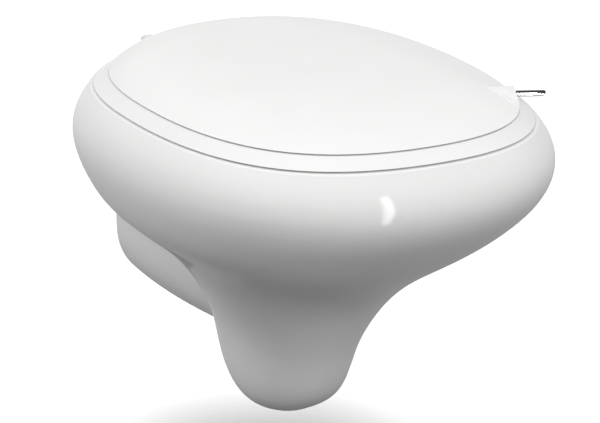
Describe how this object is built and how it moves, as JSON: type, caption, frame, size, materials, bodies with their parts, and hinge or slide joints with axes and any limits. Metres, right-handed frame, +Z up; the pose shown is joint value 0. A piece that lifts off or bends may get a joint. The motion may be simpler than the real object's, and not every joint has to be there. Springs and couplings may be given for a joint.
{
  "type": "wall hung toilet",
  "caption": "Wall hung toilet with a pebble shaped ceramic pan on a tapering stem, slim seat ring and domed soft-close lid with a side lift pin.",
  "frame": {"origin": "on the wall plane, midway between the centres of the two stud holes", "axes": "+Z up, +Y into the wall, -Y towards the front of the bowl, +X to the right seen from the front"},
  "size_m": [0.4396, 0.5941, 0.3836],
  "materials": {
    "ceramic": "glazed white vitreous china",
    "seat_plastic": "gloss white thermoset",
    "chrome": "polished chrome",
    "steel": "stainless steel",
    "brass": "turned brass",
    "grey_plastic": "moulded grey plastic",
    "seal_rubber": "black rubber",
    "buffer_rubber": "soft pale rubber"
  },
  "bodies": {
    "root": {"pan": "ceramic", "inlet_seal": "seal_rubber", "fixing_sleeves": "grey_plastic", "fixing_washers": "steel", "fixing_nuts": "steel", "hinge_gaskets": "seal_rubber", "hinge_base_left": "steel", "hinge_base_right": "steel", "hinge_washers": "steel", "hinge_bolts": "steel", "hinge_sleeves": "seal_rubber", "hinge_cones": "grey_plastic", "hinge_pin_left": "steel", "hinge_pin_right": "steel"},
    "seat": {"seat_ring": "seat_plastic", "seat_buffers": "buffer_rubber", "seat_damper": "grey_plastic", "seat_bush": "grey_plastic"},
    "lid": {"lid": "seat_plastic", "lid_buffers": "buffer_rubber", "lid_damper": "grey_plastic", "lid_bush": "grey_plastic", "lift_pin": "chrome", "pin_insert": "brass"}
  },
  "joints": [
    {"name": "seat_hinge", "type": "hinge", "parent": "root", "child": "seat", "pos_m": [0, -0.0661, 0.112], "axis": [-1, 0, 0], "range_deg": [0, 92]},
    {"name": "lid_hinge", "type": "hinge", "parent": "seat", "child": "lid", "pos_m": [0, -0.0661, 0.112], "axis": [-1, 0, 0], "range_deg": [0, 90]}
  ]
}
